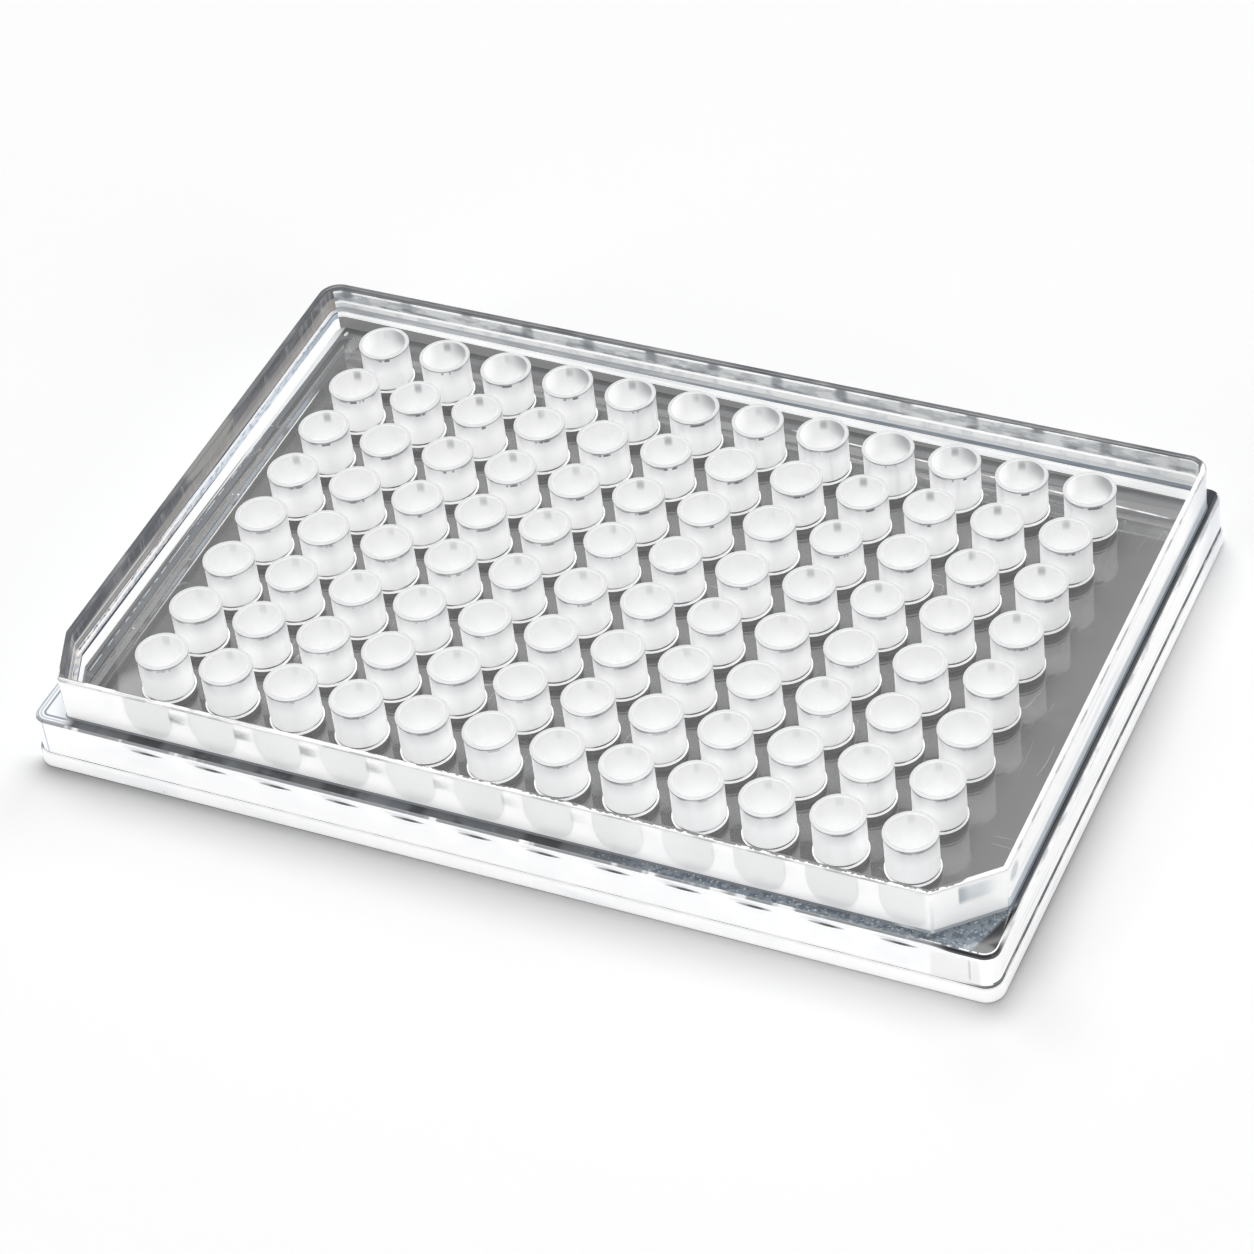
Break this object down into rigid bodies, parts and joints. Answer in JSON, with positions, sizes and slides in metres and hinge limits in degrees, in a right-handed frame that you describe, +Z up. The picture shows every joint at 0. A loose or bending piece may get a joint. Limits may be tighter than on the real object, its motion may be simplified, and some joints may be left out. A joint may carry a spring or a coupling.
{
  "type": "microplate",
  "caption": "Open clear plastic well plate: a rectangular grid of flat-bottomed chimney wells on a deck inside a border wall, over a hollow skirt with a lid ledge.",
  "frame": {"origin": "middle of the footprint, on the surface that the plate stands on", "axes": "+Z up out of the wells' mouths, +X along the long side from the first column to the last, +Y along the short side towards the first row"},
  "size_m": [0.1278, 0.0854, 0.0139],
  "materials": {
    "clear_polystyrene": "clear moulded polystyrene, glossy, faintly frosted on the wells"
  },
  "bodies": {
    "root": {"plate_body": "clear_polystyrene"}
  },
  "joints": []
}
